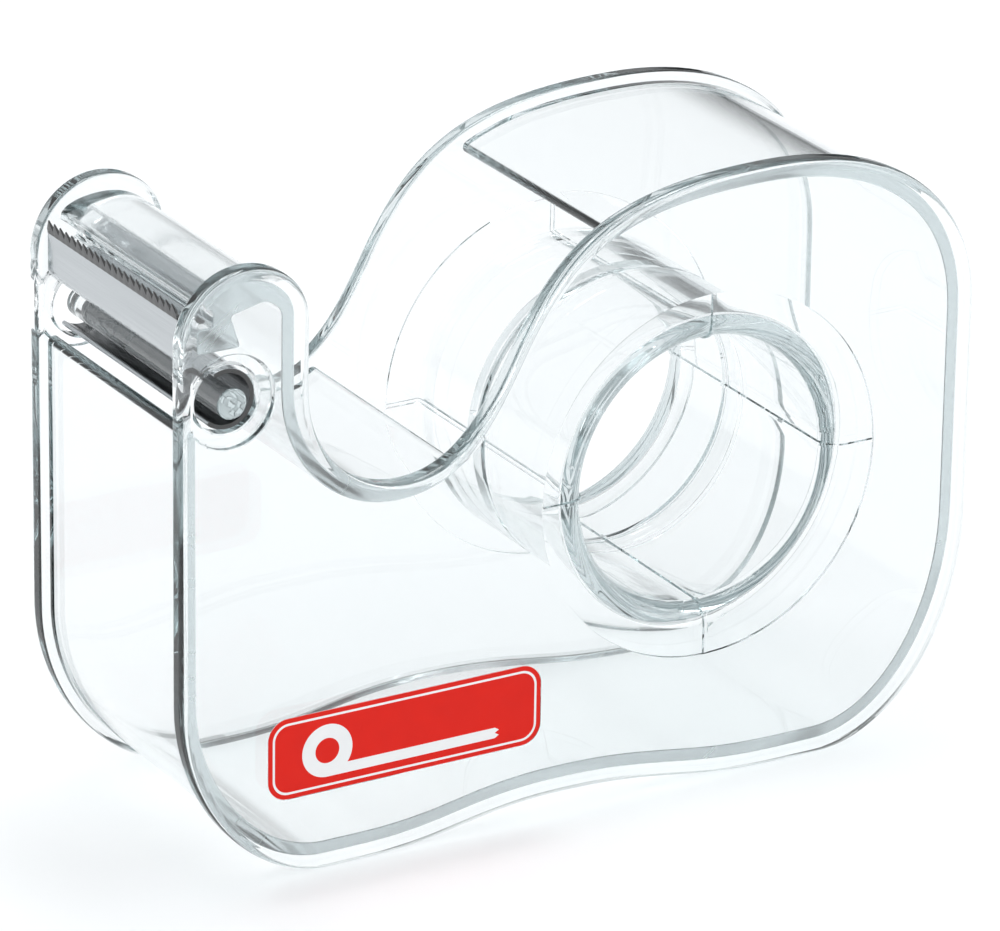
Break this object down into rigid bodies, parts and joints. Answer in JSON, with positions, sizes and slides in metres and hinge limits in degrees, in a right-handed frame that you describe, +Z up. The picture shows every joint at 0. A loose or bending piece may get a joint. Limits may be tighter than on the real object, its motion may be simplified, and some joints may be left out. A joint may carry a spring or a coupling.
{
  "type": "tape dispenser",
  "caption": "Small clear hand tape dispenser with a hollow roll hub, a finger gap, a rounded tape guide and a toothed steel cutter in its nose.",
  "frame": {"origin": "on the resting plane, under the middle of the outer box", "axes": "+Z up, +X from the cutting nose to the rounded back, +Y from the side cover across to the fixed side plate"},
  "size_m": [0.0678, 0.0242, 0.0488],
  "materials": {
    "clear_shell": "polished clear styrene",
    "clear_cover": "polished clear styrene",
    "clear_rod": "polished clear styrene",
    "cutter_steel": "bright rolled strip",
    "label_print": "glossy printed film"
  },
  "bodies": {
    "body": {"body_shell": "clear_shell"},
    "cover": {"side_cover": "clear_cover", "label": "label_print"},
    "cutter": {"cutter_blade": "cutter_steel", "cutter_rod": "clear_rod"}
  },
  "joints": [
    {"name": "cover_pull", "type": "slide", "parent": "body", "child": "cover", "axis": [0, -1, 0], "range_m": [0, 0.03]},
    {"name": "cutter_swing", "type": "hinge", "parent": "body", "child": "cutter", "pos_m": [-0.03, 0, 0.0386], "axis": [0, -1, 0], "range_deg": [0, 45]}
  ]
}
